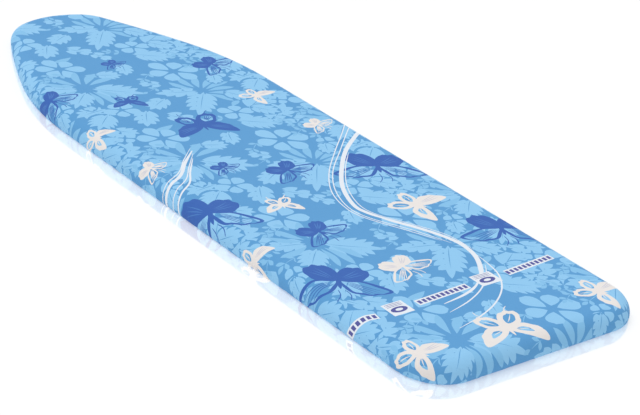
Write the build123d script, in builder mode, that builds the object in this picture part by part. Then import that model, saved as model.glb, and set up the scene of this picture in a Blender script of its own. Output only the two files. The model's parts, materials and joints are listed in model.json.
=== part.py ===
from build123d import *
import os
from math import cos, radians, sin

# Ironing and folding board top with a fitted, padded cotton cover, lying flat on its hem.
# Frame: X runs from the rounded nose (-X) to the squared heel (+X), Y across the board, Z up.
# Origin: middle of the footprint, on the surface that the board lies on. Millimetres.

# --- overall size of the covered board ---
LENGTH = 1200.0
WIDTH = 380.0
HEIGHT = 28.0
EDGE_RADIUS = 22.0  # rounding of the covered upper edge
HEEL_RADIUS = 63.0  # corners of the squared end, seen from above
# Arcs from the straight side towards the nose: radius, and how far the side has turned at its end.
SIDE_ARCS = ((482.0, 20.6), (1475.0, 27.3), (69.0, 65.9))

# --- layers, from outside to inside ---
COVER = 1.0
FOAM = 3.0
FELT = 3.0
STEEL = 1.0
LOWER_TURN = 4.0  # rounding where the cover turns in under the board
PAD_HEM = LOWER_TURN  # height at which the foam and felt end on the sides
HEM_WIDTH = 46.0  # how far the cover turns in under the board
BINDING_RADIUS = 2.5
ELASTIC_RADIUS = 1.6
DECK_INSET = COVER + FOAM + FELT
DECK_TOP = HEIGHT - DECK_INSET
DECK_UNDER = DECK_TOP - STEEL
DECK_SEAM = 30.0  # where the flat deck meets the rolled rim, inset from the board's edge
LIP_WIDTH = 10.0
HOLE_RADIUS = 4.0
HOLE_PITCH = 44.0
HOLE_MARGIN = 40.0

# --- stiffeners under the deck ---
BRACE_DEPTH = 6.0
BRACE_HALF_LENGTH = 164.0
BRACE_FLANGE = 40.0
BRACE_CROWN = 20.0
BRACE_X = {"nose_brace": -230.0, "middle_brace": 190.0, "heel_brace": 430.0}
BRACE_UNDER = DECK_UNDER - BRACE_DEPTH

# --- leg rails ---
RAIL_Y = 70.0
RAIL_START = -255.0
RAIL_END = 215.0
RAIL_WIDTH = 14.0
RAIL_DEPTH = 10.0
RAIL_WALL = 1.2
CAP_THICK = 2.0

# --- leg pivots ---
PIVOT_X = BRACE_X["heel_brace"]
PIVOT_Y = 90.0
PIVOT_Z = 7.5
CHEEK_GAP = 20.0
CHEEK_WALL = 1.5
CHEEK_WIDTH = 20.0
CHEEK_BOTTOM = 2.5
BUSH_RADIUS = 4.0
PIVOT_BORE = 3.1
BUSH_FLANGE = 1.0

# --- height rack and sliding lock plate ---
RACK_THICK = 2.0
RACK_HALF_WIDTH = 22.0
RACK_START = -245.0
RACK_END = 205.0
WINDOWS = 8
WINDOW_PITCH = 40.0
WINDOW_LENGTH = 18.0
WINDOW_WIDTH = 12.0
WINDOW_MIDDLE = -20.0
LOCK_TRAVEL = 12.0
PLATE_HALF_WIDTH = 13.0
PLATE_TOP = 11.5
PLATE_THICK = 2.0
PLATE_START = -185.0
PLATE_END = 200.0

# --- pull rod, its guides and its spring ---
ROD_RADIUS = 2.0
ROD_Z = 7.0
ROD_CLEARANCE = 0.05
ROD_START = 150.0
GUIDE_X = {"nose_rod_guide": 235.0, "heel_rod_guide": 305.0}
GUIDE_LENGTH = 16.0
GUIDE_EAR = 3.0
COLLAR_X = 280.0
COLLAR_RADIUS = 4.6
COLLAR_THICK = 2.0
SPRING_RADIUS = 3.3
SPRING_WIRE = 0.4
SPRING_TURNS = 9

# --- release lever ---
LEVER_X = 340.0
LEVER_ARM = 45.0  # from the pivot to the pull rod
LEVER_Y = -LEVER_ARM
HANDLE_LENGTH = 80.0
LEVER_BOTTOM = 2.5
LEVER_THICK = 2.5
PIN_RADIUS = 3.0
SLOT_WIDTH = 5.0
GRIP_LENGTH = 44.0
GRIP_WIDTH = 22.0
GRIP_BOTTOM = 1.7
GRIP_TOP = 8.2

# --- fasteners ---
RIVET_RADIUS = 2.0
RIVET_HEAD = 3.5
RIVET_HEAD_THICK = 1.0

os.makedirs("parts", exist_ok=True)


def save(builder, name):
    """Label a finished piece and write it as its own STEP file."""
    builder.part.label = name
    export_step(builder.part, f"parts/{name}.step")


# ---------------------------------------------------------------- outline of the board


def side_arcs():
    """The side arcs and the nose arc that closes them: centre, radius, start angle, end angle."""
    drop = 0.0
    turned = 0.0
    for radius, angle in SIDE_ARCS:
        drop += radius * (cos(radians(turned)) - cos(radians(angle)))
        turned = angle
    nose_radius = (WIDTH / 2 - drop) / cos(radians(turned))
    chain = SIDE_ARCS + ((nose_radius, 90.0),)

    reach = 0.0
    turned = 0.0
    for radius, angle in chain:
        reach += radius * (sin(radians(angle)) - sin(radians(turned)))
        turned = angle

    arcs = []
    centre_x = reach - LENGTH / 2
    centre_y = WIDTH / 2 - chain[0][0]
    turned = 0.0
    for (radius, angle), following in zip(chain, chain[1:] + (None,)):
        arcs.append(((centre_x, centre_y), radius, turned, angle))
        if following is not None:
            shift = radius - following[0]
            centre_x -= shift * sin(radians(angle))
            centre_y += shift * cos(radians(angle))
        turned = angle
    return arcs


ARCS = side_arcs()


def half_edge(inset):
    """Line round the +Y half of the board, from the heel to the nose, inset from the outer edge."""
    heel_x = LENGTH / 2 - HEEL_RADIUS
    heel_y = WIDTH / 2 - HEEL_RADIUS
    with BuildLine() as edge:
        Line((LENGTH / 2 - inset, 0), (LENGTH / 2 - inset, heel_y))
        CenterArc((heel_x, heel_y), HEEL_RADIUS - inset, 0, 90)
        Line((heel_x, WIDTH / 2 - inset), (ARCS[0][0][0], WIDTH / 2 - inset))
        for centre, radius, start, end in ARCS:
            CenterArc(centre, radius - inset, 90 + start, end - start)
    return edge.wire()


def board_face(inset):
    """Flat face inside the board's edge."""
    with BuildSketch() as face:
        with BuildLine():
            add(half_edge(inset))
            mirror(about=Plane.XZ)
        make_face()
    return face.sketch


def rounded_block(inset, bottom, top, upper_radius, lower_radius=0.0):
    """Solid on the board's outline with a rounded upper edge and, if asked, a rounded lower one."""
    with BuildPart() as block:
        with BuildSketch(Plane.XY.offset(bottom)):
            add(board_face(inset))
        extrude(amount=top - bottom)
        fillet(block.faces().sort_by(Axis.Z)[-1].edges(), upper_radius)
        if lower_radius > 0:
            fillet(block.faces().sort_by(Axis.Z)[0].edges(), lower_radius)
    return block.part


def flat_block(inset, bottom, top):
    """Solid on the board's outline with plain edges."""
    with BuildPart() as block:
        with BuildSketch(Plane.XY.offset(bottom)):
            add(board_face(inset))
        extrude(amount=top - bottom)
    return block.part


# ---------------------------------------------------------------- cover and padding

cover_outside = rounded_block(0, 0, HEIGHT, EDGE_RADIUS, LOWER_TURN)
cover_inside = rounded_block(COVER, COVER, HEIGHT - COVER, EDGE_RADIUS - COVER, LOWER_TURN - COVER)
cover_mouth = flat_block(HEM_WIDTH, -COVER, 2 * COVER)
with BuildPart() as printed_cover:
    add(cover_outside)
    add(cover_inside, mode=Mode.SUBTRACT)
    add(cover_mouth, mode=Mode.SUBTRACT)
save(printed_cover, "printed_cover")


def pad_layer(inset, thickness):
    """Soft layer over the top and the sides, open below."""
    outside = rounded_block(inset, PAD_HEM, HEIGHT - inset, EDGE_RADIUS - inset)
    inner = inset + thickness
    inside = rounded_block(inner, 0, HEIGHT - inner, EDGE_RADIUS - inner)
    with BuildPart() as layer:
        add(outside)
        add(inside, mode=Mode.SUBTRACT)
    return layer


foam_pad = pad_layer(COVER, FOAM)
save(foam_pad, "foam_pad")

felt_pad = pad_layer(COVER + FOAM, FELT)
save(felt_pad, "felt_pad")


def edge_loop(inset, height, outer, inner=0.0):
    """Round cord or tube that follows the board's edge all the way round."""
    path = half_edge(inset).moved(Location((0, 0, height)))
    start = Plane(origin=(LENGTH / 2 - inset, 0, height), x_dir=(1, 0, 0), z_dir=(0, 1, 0))
    with BuildPart() as loop:
        with BuildSketch(start):
            Circle(outer)
            if inner > 0:
                Circle(inner, mode=Mode.SUBTRACT)
        sweep(path=path)
        mirror(about=Plane.XZ)
    return loop


BINDING_INSET = HEM_WIDTH - BINDING_RADIUS
BINDING_Z = COVER + BINDING_RADIUS

hem_binding = edge_loop(BINDING_INSET, BINDING_Z, BINDING_RADIUS, ELASTIC_RADIUS + 0.3)
save(hem_binding, "hem_binding")

elastic_cord = edge_loop(BINDING_INSET, BINDING_Z, ELASTIC_RADIUS)
save(elastic_cord, "elastic_cord")

# ---------------------------------------------------------------- flat deck and rolled rim

EAR_Y = 16.0  # screw holes of the rod guides, either side of the rod
LEVER_RIVET_RING = 16.0
guide_screw_points = [(x, side * EAR_Y) for x in GUIDE_X.values() for side in (-1, 1)]
lever_rivet_points = [
    (LEVER_X + LEVER_RIVET_RING * cos(radians(a)), LEVER_Y + LEVER_RIVET_RING * sin(radians(a)))
    for a in (90, 210, 330)
]


def steam_hole_points():
    """Staggered grid of steam holes, kept clear of the edge, the braces and the fasteners."""
    inside = board_face(HOLE_MARGIN).face()
    blocked = guide_screw_points + lever_rivet_points
    points = []
    columns = int(LENGTH / HOLE_PITCH)
    for column in range(-columns, columns + 1):
        x = column * HOLE_PITCH / 2
        lift = HOLE_PITCH / 2 * (column % 2)
        if any(abs(x - brace) < BRACE_FLANGE / 2 + HOLE_RADIUS for brace in BRACE_X.values()):
            continue
        for row in range(-4, 5):
            point = (x, row * HOLE_PITCH + lift)
            near = any(abs(x - b[0]) + abs(point[1] - b[1]) < 12 for b in blocked)
            if inside.is_inside(Vector(*point, 0)) and not near:
                points.append(point)
    return points


deck_outside = rounded_block(DECK_INSET, COVER, DECK_TOP, EDGE_RADIUS - DECK_INSET)
deck_hollow_inset = DECK_INSET + STEEL
deck_inside = rounded_block(
    deck_hollow_inset, COVER + STEEL, DECK_UNDER, EDGE_RADIUS - deck_hollow_inset
)
deck_mouth = flat_block(DECK_INSET + LIP_WIDTH, 0, COVER + 2 * STEEL)
deck_sheet = flat_block(DECK_SEAM, DECK_UNDER, DECK_TOP)
with BuildPart() as rim_frame:
    add(deck_outside)
    add(deck_inside, mode=Mode.SUBTRACT)
    add(deck_mouth, mode=Mode.SUBTRACT)
    add(deck_sheet, mode=Mode.SUBTRACT)
save(rim_frame, "rim_frame")

with BuildPart() as steel_deck:
    add(deck_sheet)
    with BuildSketch(Plane.XY.offset(DECK_TOP)):
        with Locations(*steam_hole_points()):
            Circle(HOLE_RADIUS)
        with Locations(*guide_screw_points, *lever_rivet_points):
            Circle(RIVET_RADIUS)
    extrude(amount=-STEEL, mode=Mode.SUBTRACT)
save(steel_deck, "steel_deck")

# ---------------------------------------------------------------- braces across the deck

RACK_RIVET_Y = RACK_HALF_WIDTH - 5.0
long_braces = (BRACE_X["nose_brace"], BRACE_X["middle_brace"])
rail_rivet_points = [(x, side * RAIL_Y) for x in long_braces for side in (-1, 1)]
rack_rivet_points = [(x, side * RACK_RIVET_Y) for x in long_braces for side in (-1, 1)]
bracket_rivet_points = [(PIVOT_X, side * PIVOT_Y) for side in (-1, 1)]

for name, brace_x in BRACE_X.items():
    flange = BRACE_FLANGE / 2
    crown = BRACE_CROWN / 2
    flange_under = DECK_UNDER - STEEL
    with BuildPart() as brace:
        with BuildSketch(Plane.XZ):
            with BuildLine():
                FilletPolyline(
                    (brace_x - flange, DECK_UNDER),
                    (brace_x - crown, DECK_UNDER),
                    (brace_x - crown + 2 * STEEL, BRACE_UNDER + STEEL),
                    (brace_x + crown - 2 * STEEL, BRACE_UNDER + STEEL),
                    (brace_x + crown, DECK_UNDER),
                    (brace_x + flange, DECK_UNDER),
                    radius=STEEL,
                )
                Line((brace_x + flange, DECK_UNDER), (brace_x + flange, flange_under))
                FilletPolyline(
                    (brace_x + flange, flange_under),
                    (brace_x + crown + STEEL, flange_under),
                    (brace_x + crown - STEEL, BRACE_UNDER),
                    (brace_x - crown + STEEL, BRACE_UNDER),
                    (brace_x - crown - STEEL, flange_under),
                    (brace_x - flange, flange_under),
                    radius=1.5 * STEEL,
                )
                Line((brace_x - flange, flange_under), (brace_x - flange, DECK_UNDER))
            make_face()
        extrude(amount=BRACE_HALF_LENGTH, both=True)
        own_points = rail_rivet_points + rack_rivet_points + bracket_rivet_points
        with BuildSketch(Plane.XY.offset(BRACE_UNDER)):
            with Locations(*[point for point in own_points if point[0] == brace_x]):
                Circle(RIVET_RADIUS)
        extrude(amount=STEEL, mode=Mode.SUBTRACT)
    save(brace, name)

# ---------------------------------------------------------------- leg rails

RAIL_BOTTOM = BRACE_UNDER - RAIL_DEPTH


def leg_rail(side):
    """Channel that a leg's slider runs in, open towards the middle of the board."""
    outer_y = side * (RAIL_Y + RAIL_WIDTH / 2)
    mouth_y = side * (RAIL_Y - RAIL_WIDTH / 2)
    back_y = outer_y - side * RAIL_WALL
    with BuildPart() as rail:
        with BuildSketch(Plane.YZ.offset(RAIL_START)):
            with BuildLine():
                Polyline(
                    (mouth_y, BRACE_UNDER),
                    (outer_y, BRACE_UNDER),
                    (outer_y, RAIL_BOTTOM),
                    (mouth_y, RAIL_BOTTOM),
                    (mouth_y, RAIL_BOTTOM + RAIL_WALL),
                    (back_y, RAIL_BOTTOM + RAIL_WALL),
                    (back_y, BRACE_UNDER - RAIL_WALL),
                    (mouth_y, BRACE_UNDER - RAIL_WALL),
                    close=True,
                )
            make_face()
        extrude(amount=RAIL_END - RAIL_START)
        with BuildSketch(Plane.XY.offset(BRACE_UNDER)):
            with Locations(*[(x, side * RAIL_Y) for x in long_braces]):
                Circle(RIVET_RADIUS)
        extrude(amount=-RAIL_WALL, mode=Mode.SUBTRACT)
    return rail


save(leg_rail(1), "left_rail")
save(leg_rail(-1), "right_rail")

with BuildPart() as rail_caps:
    for side in (-1, 1):
        for end_x, outwards in ((RAIL_START, -1), (RAIL_END, 1)):
            middle_z = (BRACE_UNDER + RAIL_BOTTOM) / 2
            with Locations((end_x + outwards * CAP_THICK / 2, side * RAIL_Y, middle_z)):
                Box(CAP_THICK, RAIL_WIDTH, RAIL_DEPTH)
            plug_y = side * (RAIL_Y - RAIL_WALL / 2)
            with Locations((end_x - outwards * 4, plug_y, middle_z)):
                Box(8, RAIL_WIDTH - RAIL_WALL, RAIL_DEPTH - 2 * RAIL_WALL)
save(rail_caps, "rail_caps")

# ---------------------------------------------------------------- leg pivots


def pivot_bracket(side):
    """Folded bracket under the heel brace, with a cheek either side of the leg."""
    with BuildPart() as bracket:
        with Locations((PIVOT_X, side * PIVOT_Y, BRACE_UNDER - CHEEK_WALL / 2)):
            Box(CHEEK_WIDTH, CHEEK_GAP + 2 * CHEEK_WALL, CHEEK_WALL)
        for cheek in (-1, 1):
            cheek_y = side * PIVOT_Y + cheek * (CHEEK_GAP + CHEEK_WALL) / 2
            height = BRACE_UNDER - CHEEK_BOTTOM
            with Locations((PIVOT_X, cheek_y, CHEEK_BOTTOM + height / 2)):
                Box(CHEEK_WIDTH, CHEEK_WALL, height)
        corners = bracket.edges().filter_by(Axis.Y).group_by(Axis.Z)[0]
        fillet(corners, 4.0)
        with Locations(Plane(origin=(PIVOT_X, side * PIVOT_Y, PIVOT_Z), z_dir=(0, 1, 0))):
            Cylinder(BUSH_RADIUS, 2 * CHEEK_GAP, mode=Mode.SUBTRACT)
        with Locations((PIVOT_X, side * PIVOT_Y, BRACE_UNDER)):
            Cylinder(RIVET_RADIUS, 4 * CHEEK_WALL, mode=Mode.SUBTRACT)
    return bracket


def pivot_bushes(side):
    """Two flanged plastic bushes, one in each cheek, flanges inwards."""
    with BuildPart() as bushes:
        for cheek in (-1, 1):
            face_y = side * PIVOT_Y + cheek * CHEEK_GAP / 2
            face = Plane(origin=(PIVOT_X, face_y, PIVOT_Z), x_dir=(1, 0, 0), z_dir=(0, cheek, 0))
            with BuildSketch(face):
                Circle(BUSH_RADIUS)
                Circle(PIVOT_BORE, mode=Mode.SUBTRACT)
            extrude(amount=CHEEK_WALL)
            with BuildSketch(face):
                Circle(BUSH_RADIUS + 0.9)
                Circle(PIVOT_BORE, mode=Mode.SUBTRACT)
            extrude(amount=-BUSH_FLANGE)
    return bushes


for side, prefix in ((1, "left"), (-1, "right")):
    save(pivot_bracket(side), f"{prefix}_pivot_bracket")
    save(pivot_bushes(side), f"{prefix}_pivot_bushes")

# ---------------------------------------------------------------- height rack and lock plate

RACK_BOTTOM = BRACE_UNDER - RACK_THICK


def slotted_strip(start, end, half_width, top, thickness, window_shift):
    """Flat strip along the board with a row of windows."""
    middle = (start + end) / 2
    with BuildPart() as strip:
        with Locations((middle, 0, top - thickness / 2)):
            Box(end - start, 2 * half_width, thickness)
        corners = strip.edges().filter_by(Axis.Z)
        fillet(corners, 4.0)
        with BuildSketch(Plane.XY.offset(top)):
            with Locations((WINDOW_MIDDLE + window_shift, 0)):
                with GridLocations(WINDOW_PITCH, 1, WINDOWS, 1):
                    Rectangle(WINDOW_LENGTH, WINDOW_WIDTH)
        extrude(amount=-thickness, mode=Mode.SUBTRACT)
    return strip


rack_strip = slotted_strip(RACK_START, RACK_END, RACK_HALF_WIDTH, BRACE_UNDER, RACK_THICK, 0)
with BuildPart() as height_rack:
    add(rack_strip.part)
    with BuildSketch(Plane.XY.offset(BRACE_UNDER)):
        with Locations(*rack_rivet_points):
            Circle(RIVET_RADIUS)
    extrude(amount=-RACK_THICK, mode=Mode.SUBTRACT)
save(height_rack, "height_rack")

KEEPER_X = (-160.0, 160.0)
KEEPER_LENGTH = 20.0
KEEPER_WALL = 1.2
KEEPER_OUTER = 17.4  # outside of the leg that hangs below the rack
KEEPER_REACH = 9.0  # how near the foot comes to the middle
KEEPER_BOTTOM = 7.8

with BuildPart() as keeper_clips:
    for x in KEEPER_X:
        for side in (-1, 1):
            with BuildSketch(Plane.YZ.offset(x - KEEPER_LENGTH / 2)):
                with BuildLine():
                    Polyline(
                        (side * RACK_HALF_WIDTH, RACK_BOTTOM),
                        (side * RACK_HALF_WIDTH, RACK_BOTTOM - 1),
                        (side * KEEPER_OUTER, RACK_BOTTOM - 1),
                        (side * KEEPER_OUTER, KEEPER_BOTTOM),
                        (side * KEEPER_REACH, KEEPER_BOTTOM),
                        (side * KEEPER_REACH, KEEPER_BOTTOM + 1.1),
                        (side * (KEEPER_OUTER - KEEPER_WALL), KEEPER_BOTTOM + 1.1),
                        (side * (KEEPER_OUTER - KEEPER_WALL), RACK_BOTTOM),
                        close=True,
                    )
                make_face()
            extrude(amount=KEEPER_LENGTH)
save(keeper_clips, "keeper_clips")

SADDLE_LENGTH = 50.0
SADDLE_WIDTH = 9.0
SADDLE_BOTTOM = ROD_Z - ROD_RADIUS - 0.8
plate_strip = slotted_strip(
    PLATE_START, PLATE_END, PLATE_HALF_WIDTH, PLATE_TOP, PLATE_THICK, LOCK_TRAVEL
)
with BuildPart() as lock_plate:
    add(plate_strip.part)
    with Locations((PLATE_END - SADDLE_LENGTH / 2, 0, (SADDLE_BOTTOM + PLATE_TOP) / 2)):
        Box(SADDLE_LENGTH, SADDLE_WIDTH, PLATE_TOP - SADDLE_BOTTOM)
    with Locations(Plane(origin=(PLATE_END, 0, ROD_Z), z_dir=(1, 0, 0))):
        Cylinder(ROD_RADIUS, 4 * SADDLE_LENGTH, mode=Mode.SUBTRACT)
save(lock_plate, "lock_plate")

# ---------------------------------------------------------------- pull rod, guides, spring

ROD_BEND = 2.6
ROD_TIP_Z = 1.8

with BuildPart() as pull_rod:
    with BuildLine() as rod_path:
        FilletPolyline(
            (ROD_START, 0, ROD_Z), (LEVER_X, 0, ROD_Z), (LEVER_X, 0, ROD_TIP_Z), radius=ROD_BEND
        )
    with BuildSketch(Plane(origin=(ROD_START, 0, ROD_Z), z_dir=(1, 0, 0))):
        Circle(ROD_RADIUS)
    sweep(path=rod_path.wire())
save(pull_rod, "pull_rod")

for name, guide_x in GUIDE_X.items():
    with BuildPart() as guide:
        with Locations((guide_x, 0, (DECK_UNDER + 4) / 2)):
            Box(GUIDE_LENGTH, 16, DECK_UNDER - 4)
        fillet(guide.edges().filter_by(Axis.Z), 3.0)
        with Locations((guide_x, 0, DECK_UNDER - GUIDE_EAR / 2)):
            Box(GUIDE_LENGTH - 4, 44, GUIDE_EAR)
        with Locations(Plane(origin=(guide_x, 0, ROD_Z), z_dir=(1, 0, 0))):
            Cylinder(ROD_RADIUS + ROD_CLEARANCE, 2 * GUIDE_LENGTH, mode=Mode.SUBTRACT)
        with Locations((guide_x, -EAR_Y, DECK_UNDER), (guide_x, EAR_Y, DECK_UNDER)):
            Cylinder(RIVET_RADIUS, 4 * GUIDE_EAR, mode=Mode.SUBTRACT)
    save(guide, name)

with BuildPart() as spring_collar:
    with Locations(Plane(origin=(COLLAR_X + COLLAR_THICK / 2, 0, ROD_Z), z_dir=(1, 0, 0))):
        Cylinder(COLLAR_RADIUS, COLLAR_THICK)
        Cylinder(ROD_RADIUS, 2 * COLLAR_THICK, mode=Mode.SUBTRACT)
save(spring_collar, "spring_collar")

SPRING_START = GUIDE_X["nose_rod_guide"] + GUIDE_LENGTH / 2 + SPRING_WIRE
SPRING_LENGTH = COLLAR_X - SPRING_WIRE - SPRING_START

with BuildPart() as return_spring:
    with BuildLine() as coil:
        Helix(
            pitch=SPRING_LENGTH / SPRING_TURNS,
            height=SPRING_LENGTH,
            radius=SPRING_RADIUS,
            center=(SPRING_START, 0, ROD_Z),
            direction=(1, 0, 0),
        )
    with BuildSketch(Plane(origin=coil.line @ 0, z_dir=coil.line % 0)):
        Circle(SPRING_WIRE)
    sweep(path=coil.wire(), is_frenet=True)
save(return_spring, "return_spring")

# ---------------------------------------------------------------- release lever

with BuildPart() as release_lever:
    with BuildSketch(Plane.XY.offset(LEVER_BOTTOM)):
        with Locations((LEVER_X, LEVER_Y / 2)):
            SlotCenterToCenter(LEVER_ARM, 18, rotation=90)
        with Locations((LEVER_X, LEVER_Y - HANDLE_LENGTH / 2)):
            SlotCenterToCenter(HANDLE_LENGTH, 15, rotation=90)
        with Locations((LEVER_X, LEVER_Y)):
            Circle(12)
            Circle(PIN_RADIUS + ROD_CLEARANCE, mode=Mode.SUBTRACT)
        with Locations((LEVER_X, 0)):
            SlotCenterToCenter(5, SLOT_WIDTH, rotation=90, mode=Mode.SUBTRACT)
    extrude(amount=LEVER_THICK)
save(release_lever, "release_lever")

with BuildPart() as lever_grip:
    grip_y = LEVER_Y - HANDLE_LENGTH - 9 + GRIP_LENGTH / 2
    with Locations((LEVER_X, grip_y, (GRIP_TOP + GRIP_BOTTOM) / 2)):
        Box(GRIP_WIDTH, GRIP_LENGTH, GRIP_TOP - GRIP_BOTTOM)
    fillet(lever_grip.edges().filter_by(Axis.Z), 6.0)
    fillet(lever_grip.faces().sort_by(Axis.Z)[-1].edges(), 1.5)
    add(release_lever.part, mode=Mode.SUBTRACT)
save(lever_grip, "lever_grip")

BRACKET_FLANGE = 1.5
with BuildPart() as lever_bracket:
    with BuildSketch(Plane.XY.offset(DECK_UNDER)):
        with Locations((LEVER_X, LEVER_Y)):
            Circle(22)
        with Locations(*lever_rivet_points):
            Circle(RIVET_RADIUS, mode=Mode.SUBTRACT)
    extrude(amount=-BRACKET_FLANGE)
    with BuildSketch(Plane.XY.offset(DECK_UNDER - BRACKET_FLANGE)):
        with Locations((LEVER_X, LEVER_Y)):
            Circle(10.5)
    extrude(amount=-(DECK_UNDER - BRACKET_FLANGE - LEVER_BOTTOM - LEVER_THICK - 0.2), taper=6)
    with Locations((LEVER_X, LEVER_Y, DECK_UNDER)):
        Cylinder(PIN_RADIUS, 4 * DECK_UNDER, mode=Mode.SUBTRACT)
save(lever_bracket, "lever_bracket")

with BuildPart() as lever_pin:
    with BuildSketch(Plane.XY.offset(LEVER_BOTTOM - 0.2)):
        with Locations((LEVER_X, LEVER_Y)):
            Circle(PIN_RADIUS)
    extrude(amount=DECK_UNDER - LEVER_BOTTOM + 0.2)
    with BuildSketch(Plane.XY.offset(LEVER_BOTTOM - 0.9)):
        with Locations((LEVER_X, LEVER_Y)):
            Circle(2 * PIN_RADIUS)
    extrude(amount=0.7)
save(lever_pin, "lever_pin")

# ---------------------------------------------------------------- rivets and screws


def fasteners(points, head_top, shank_top):
    """Row of separate rivets or screws with their heads below."""
    with BuildPart() as group:
        with BuildSketch(Plane.XY.offset(head_top)):
            with Locations(*points):
                Circle(RIVET_RADIUS)
        extrude(amount=shank_top - head_top)
        with BuildSketch(Plane.XY.offset(head_top)):
            with Locations(*points):
                Circle(RIVET_HEAD)
        extrude(amount=-RIVET_HEAD_THICK)
        heads = group.faces().filter_by(Axis.Z).group_by(Axis.Z)[0].edges()
        fillet(heads, 0.8)
    return group


crown_inside = BRACE_UNDER + STEEL

save(fasteners(rail_rivet_points, BRACE_UNDER - RAIL_WALL, crown_inside), "rail_rivets")
save(fasteners(bracket_rivet_points, BRACE_UNDER - CHEEK_WALL, crown_inside), "bracket_rivets")
save(fasteners(rack_rivet_points, RACK_BOTTOM, crown_inside), "rack_rivets")
save(fasteners(guide_screw_points, DECK_UNDER - GUIDE_EAR, DECK_TOP), "guide_screws")
save(fasteners(lever_rivet_points, DECK_UNDER - BRACKET_FLANGE, DECK_TOP), "lever_rivets")
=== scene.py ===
"""Padded ironing and folding board, dressed on its CAD frame.

The cover is laid out flat, its print is cut into the flat mesh, and the mesh is then wrapped over the
board's edge and turned in underneath. Lengths of the board and its print are in millimetres until a mesh
is made. Those of the camera are in metres.
"""

import json
from math import ceil, cos, hypot, pi, radians, sin

import bpy
import numpy as np
from mathutils import Matrix, Vector, geometry


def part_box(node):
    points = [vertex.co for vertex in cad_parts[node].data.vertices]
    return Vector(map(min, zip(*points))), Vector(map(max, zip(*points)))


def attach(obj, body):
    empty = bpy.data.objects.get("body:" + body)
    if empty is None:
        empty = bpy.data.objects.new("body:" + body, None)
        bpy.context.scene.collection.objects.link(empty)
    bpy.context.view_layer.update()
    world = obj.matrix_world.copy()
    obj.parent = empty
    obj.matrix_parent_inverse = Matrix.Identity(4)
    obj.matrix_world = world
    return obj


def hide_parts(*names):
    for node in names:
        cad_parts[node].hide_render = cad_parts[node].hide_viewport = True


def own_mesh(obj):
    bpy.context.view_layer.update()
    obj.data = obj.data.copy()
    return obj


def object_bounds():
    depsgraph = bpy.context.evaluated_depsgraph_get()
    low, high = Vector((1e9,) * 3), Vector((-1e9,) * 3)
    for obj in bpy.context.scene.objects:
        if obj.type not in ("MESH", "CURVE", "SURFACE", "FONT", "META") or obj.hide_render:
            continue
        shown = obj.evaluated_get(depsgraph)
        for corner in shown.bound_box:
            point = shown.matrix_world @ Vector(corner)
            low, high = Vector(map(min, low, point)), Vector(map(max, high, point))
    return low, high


MM = 0.001

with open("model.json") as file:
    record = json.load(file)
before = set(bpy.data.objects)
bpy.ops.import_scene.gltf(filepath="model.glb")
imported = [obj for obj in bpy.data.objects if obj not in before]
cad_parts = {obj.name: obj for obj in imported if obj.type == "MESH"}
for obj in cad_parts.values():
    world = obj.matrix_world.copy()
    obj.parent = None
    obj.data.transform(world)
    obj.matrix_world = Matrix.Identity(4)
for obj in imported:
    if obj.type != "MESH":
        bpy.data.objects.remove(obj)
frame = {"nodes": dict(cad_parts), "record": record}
CAD_BOX = [[float(value) for value in corner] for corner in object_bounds()]

# ---------------------------------------------------------------- sizes, from the frame and the board

LENGTH = (CAD_BOX[1][0] - CAD_BOX[0][0]) / MM
WIDTH = (CAD_BOX[1][1] - CAD_BOX[0][1]) / MM
HEIGHT = (CAD_BOX[1][2] - CAD_BOX[0][2]) / MM
EDGE_RADIUS = 22.0
HEEL_RADIUS = 63.0
SIDE_ARCS = ((482.0, 20.6), (1475.0, 27.3), (69.0, 65.9))  # radius, and degrees turned by its end
COVER = 1.0  # thickness, as the next two
FOAM = 3.0
FELT = 3.0
LOWER_TURN = 4.0  # radius
HEM_WIDTH = 46.0
BINDING_RADIUS = 2.5
HEM_RISE = 16.0  # width of hem that rises into the tape

QUARTER = EDGE_RADIUS * pi / 2
SIDE_END = QUARTER + HEIGHT - EDGE_RADIUS - LOWER_TURN
TURN_END = SIDE_END + LOWER_TURN * pi / 2
HEM_END = TURN_END + HEM_WIDTH - LOWER_TURN

# ---------------------------------------------------------------- camera

CAMERA_AZIMUTH = radians(49.11)
CAMERA_ELEVATION = radians(25.97)
CAMERA_ROLL = radians(6.43)
CAMERA_DISTANCE = 2.6918
CAMERA_TARGET = Vector((0.1421, 0.0039, 0.0))
CAMERA_LENS = 107.96


def add_camera():
    """Camera at the photograph's viewpoint: heel end and one long side towards the viewer."""
    back = Vector(
        (
            sin(CAMERA_AZIMUTH) * cos(CAMERA_ELEVATION),
            -cos(CAMERA_AZIMUTH) * cos(CAMERA_ELEVATION),
            sin(CAMERA_ELEVATION),
        )
    )
    right = (-back).cross(Vector((0, 0, 1))).normalized()
    up = back.cross(right)
    turned_right = right * cos(CAMERA_ROLL) + up * sin(CAMERA_ROLL)
    turned_up = up * cos(CAMERA_ROLL) - right * sin(CAMERA_ROLL)
    data = bpy.data.cameras.new("camera")
    data.sensor_width = 36.0
    data.lens = CAMERA_LENS
    data.clip_end = 50.0
    camera = bpy.data.objects.new("camera", data)
    turn = Matrix((turned_right, turned_up, back)).transposed().to_4x4()
    camera.matrix_world = Matrix.Translation(CAMERA_TARGET + back * CAMERA_DISTANCE) @ turn
    bpy.context.scene.collection.objects.link(camera)
    bpy.context.scene.camera = camera


add_camera()

# ---------------------------------------------------------------- materials


def linear(red, green, blue):
    """A display colour, 0 to 255, as a linear one."""
    values = [value / 255 for value in (red, green, blue)]
    return tuple(v / 12.92 if v <= 0.04045 else ((v + 0.055) / 1.055) ** 2.4 for v in values) + (1.0,)


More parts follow.
